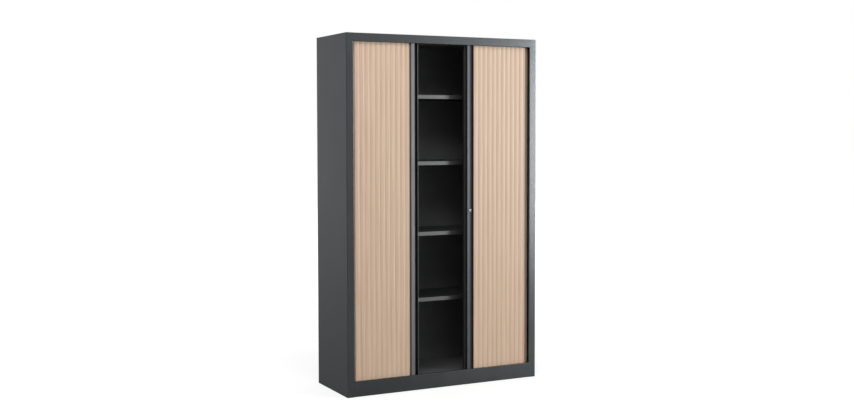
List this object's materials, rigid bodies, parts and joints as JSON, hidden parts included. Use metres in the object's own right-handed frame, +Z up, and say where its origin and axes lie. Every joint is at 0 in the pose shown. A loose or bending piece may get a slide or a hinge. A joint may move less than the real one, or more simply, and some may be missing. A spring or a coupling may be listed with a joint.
{
  "type": "tambour door cabinet",
  "caption": "Tall steel office cabinet with two slatted doors that slide apart round its front corners, lockable, with adjustable shelves",
  "frame": {"origin": "middle of the footprint, on the floor", "axes": "+Z up, the doors face -Y, +X to the viewer's right when facing them"},
  "size_m": [1.2, 0.43, 1.98],
  "materials": {
    "case_steel": "anthracite powder coat, satin",
    "inside_steel": "dark powder coat, satin",
    "shelf_steel": "dark grey powder coat, satin",
    "slat_wood_tone": "pale beech tone, satin",
    "stile_aluminium": "anodised, satin",
    "track_plastic": "black, low friction",
    "bright_metal": "bright plated"
  },
  "bodies": {
    "case": {"side_panel_left": "case_steel", "side_panel_right": "case_steel", "top_panel": "case_steel", "plinth": "case_steel", "floor_panel": "inside_steel", "ceiling_panel": "inside_steel", "back_panel": "case_steel", "liner_left": "inside_steel", "liner_right": "inside_steel", "inner_back": "inside_steel", "shelf_1": "shelf_steel", "shelf_2": "shelf_steel", "shelf_3": "shelf_steel", "shelf_4": "shelf_steel", "track_bottom_left": "track_plastic", "track_bottom_right": "track_plastic", "track_top_left": "track_plastic", "track_top_right": "track_plastic"},
    "door_left": {"slat_left_01": "slat_wood_tone", "slat_left_02": "slat_wood_tone", "slat_left_03": "slat_wood_tone", "slat_left_04": "slat_wood_tone", "slat_left_05": "slat_wood_tone", "slat_left_06": "slat_wood_tone", "slat_left_07": "slat_wood_tone", "slat_left_08": "slat_wood_tone", "slat_left_09": "slat_wood_tone", "slat_left_10": "slat_wood_tone", "slat_left_11": "slat_wood_tone"},
    "stile_left": {"stile_left": "stile_aluminium", "strike_plate": "bright_metal"},
    "left_slat_12": {"slat_left_12": "slat_wood_tone"},
    "left_slat_13": {"slat_left_13": "slat_wood_tone"},
    "left_slat_14": {"slat_left_14": "slat_wood_tone"},
    "left_slat_15": {"slat_left_15": "slat_wood_tone"},
    "left_slat_16": {"slat_left_16": "slat_wood_tone"},
    "left_slat_17": {"slat_left_17": "slat_wood_tone"},
    "left_slat_18": {"slat_left_18": "slat_wood_tone"},
    "door_right": {"slat_right_01": "slat_wood_tone", "slat_right_02": "slat_wood_tone", "slat_right_03": "slat_wood_tone", "slat_right_04": "slat_wood_tone", "slat_right_05": "slat_wood_tone", "slat_right_06": "slat_wood_tone", "slat_right_07": "slat_wood_tone", "slat_right_08": "slat_wood_tone", "slat_right_09": "slat_wood_tone", "slat_right_10": "slat_wood_tone", "slat_right_11": "slat_wood_tone"},
    "stile_right": {"stile_right": "stile_aluminium"},
    "lock": {"lock_barrel": "bright_metal", "lock_hook": "bright_metal"},
    "right_slat_12": {"slat_right_12": "slat_wood_tone"},
    "right_slat_13": {"slat_right_13": "slat_wood_tone"},
    "right_slat_14": {"slat_right_14": "slat_wood_tone"},
    "right_slat_15": {"slat_right_15": "slat_wood_tone"},
    "right_slat_16": {"slat_right_16": "slat_wood_tone"},
    "right_slat_17": {"slat_right_17": "slat_wood_tone"},
    "right_slat_18": {"slat_right_18": "slat_wood_tone"}
  },
  "joints": [
    {"name": "left_close", "type": "slide", "parent": "case", "child": "door_left", "axis": [-1, 0, 0], "range_m": [-0.1635, 0]},
    {"name": "left_open", "type": "slide", "parent": "door_left", "child": "stile_left", "axis": [-1, 0, 0], "range_m": [0, 0.318], "deforming": ["slat_left_01", "slat_left_02", "slat_left_03", "slat_left_04", "slat_left_05", "slat_left_06", "slat_left_07", "slat_left_08", "slat_left_09", "slat_left_10", "slat_left_11"]},
    {"name": "left_slat_12_turn", "type": "hinge", "parent": "case", "child": "left_slat_12", "pos_m": [-0.46155, 0.06615, 1], "axis": [0, 0, 1], "range_deg": [0, 35.55]},
    {"name": "left_slat_13_turn", "type": "hinge", "parent": "case", "child": "left_slat_13", "pos_m": [-0.47803, -0.08107, 1], "axis": [0, 0, 1], "range_deg": [0, 77.28]},
    {"name": "left_slat_14_turn", "type": "hinge", "parent": "case", "child": "left_slat_14", "pos_m": [-0.48399, -0.09799, 1], "axis": [0, 0, 1], "range_deg": [0, 90.02]},
    {"name": "left_slat_15_turn", "type": "hinge", "parent": "case", "child": "left_slat_15", "pos_m": [-0.48399, -0.09799, 1], "axis": [0, 0, 1], "range_deg": [0, 90.02]},
    {"name": "left_slat_16_turn", "type": "hinge", "parent": "case", "child": "left_slat_16", "pos_m": [-0.48399, -0.09799, 1], "axis": [0, 0, 1], "range_deg": [0, 90.02]},
    {"name": "left_slat_17_turn", "type": "hinge", "parent": "case", "child": "left_slat_17", "pos_m": [-0.45931, -0.09019, 1], "axis": [0, 0, 1], "range_deg": [0, 72.8]},
    {"name": "left_slat_18_turn", "type": "hinge", "parent": "case", "child": "left_slat_18", "pos_m": [-0.25465, -0.07127, 1], "axis": [0, 0, 1], "range_deg": [0, 28.64]},
    {"name": "right_close", "type": "slide", "parent": "case", "child": "door_right", "axis": [1, 0, 0], "range_m": [-0.1305, 0]},
    {"name": "right_open", "type": "slide", "parent": "door_right", "child": "stile_right", "axis": [1, 0, 0], "range_m": [0, 0.318], "deforming": ["slat_right_01", "slat_right_02", "slat_right_03", "slat_right_04", "slat_right_05", "slat_right_06", "slat_right_07", "slat_right_08", "slat_right_09", "slat_right_10", "slat_right_11"]},
    {"name": "right_slat_12_turn", "type": "hinge", "parent": "case", "child": "right_slat_12", "pos_m": [0.46205, 0.41025, 1], "axis": [0, 0, 1], "range_deg": [-12.45, 0]},
    {"name": "right_slat_13_turn", "type": "hinge", "parent": "case", "child": "right_slat_13", "pos_m": [0.48579, -0.06222, 1], "axis": [0, 0, 1], "range_deg": [-55.45, 0]},
    {"name": "right_slat_14_turn", "type": "hinge", "parent": "case", "child": "right_slat_14", "pos_m": [0.49952, -0.11313, 1], "axis": [0, 0, 1], "range_deg": [-88.28, 0]},
    {"name": "right_slat_15_turn", "type": "hinge", "parent": "case", "child": "right_slat_15", "pos_m": [0.50047, -0.11447, 1], "axis": [0, 0, 1], "range_deg": [-90.02, 0]},
    {"name": "right_slat_16_turn", "type": "hinge", "parent": "case", "child": "right_slat_16", "pos_m": [0.49692, -0.11227, 1], "axis": [0, 0, 1], "range_deg": [-85.77, 0]},
    {"name": "right_slat_17_turn", "type": "hinge", "parent": "case", "child": "right_slat_17", "pos_m": [0.42813, -0.09693, 1], "axis": [0, 0, 1], "range_deg": [-48.47, 0]},
    {"name": "right_slat_18_turn", "type": "hinge", "parent": "case", "child": "right_slat_18", "pos_m": [-0.38388, -0.07134, 1], "axis": [0, 0, 1], "range_deg": [-7.81, 0]},
    {"name": "lock_turn", "type": "hinge", "parent": "stile_right", "child": "lock", "pos_m": [0.164, -0.2043, 0.997], "axis": [0, 1, 0], "range_deg": [0, 90]}
  ],
  "couplings": [
    {"joint": "left_slat_12_turn", "follows": "left_close", "rad_per_m": -3.7929},
    {"joint": "left_slat_13_turn", "follows": "left_close", "rad_per_m": -8.2472},
    {"joint": "left_slat_14_turn", "follows": "left_close", "rad_per_m": -9.6073},
    {"joint": "left_slat_15_turn", "follows": "left_close", "rad_per_m": -9.6073},
    {"joint": "left_slat_16_turn", "follows": "left_close", "rad_per_m": -9.6073},
    {"joint": "left_slat_17_turn", "follows": "left_close", "rad_per_m": -7.7691},
    {"joint": "left_slat_18_turn", "follows": "left_close", "rad_per_m": -3.0548},
    {"joint": "right_slat_12_turn", "follows": "right_close", "rad_per_m": 1.6622},
    {"joint": "right_slat_13_turn", "follows": "right_close", "rad_per_m": 7.4139},
    {"joint": "right_slat_14_turn", "follows": "right_close", "rad_per_m": 11.804},
    {"joint": "right_slat_15_turn", "follows": "right_close", "rad_per_m": 12.037},
    {"joint": "right_slat_16_turn", "follows": "right_close", "rad_per_m": 11.468},
    {"joint": "right_slat_17_turn", "follows": "right_close", "rad_per_m": 6.4798},
    {"joint": "right_slat_18_turn", "follows": "right_close", "rad_per_m": 1.042}
  ]
}
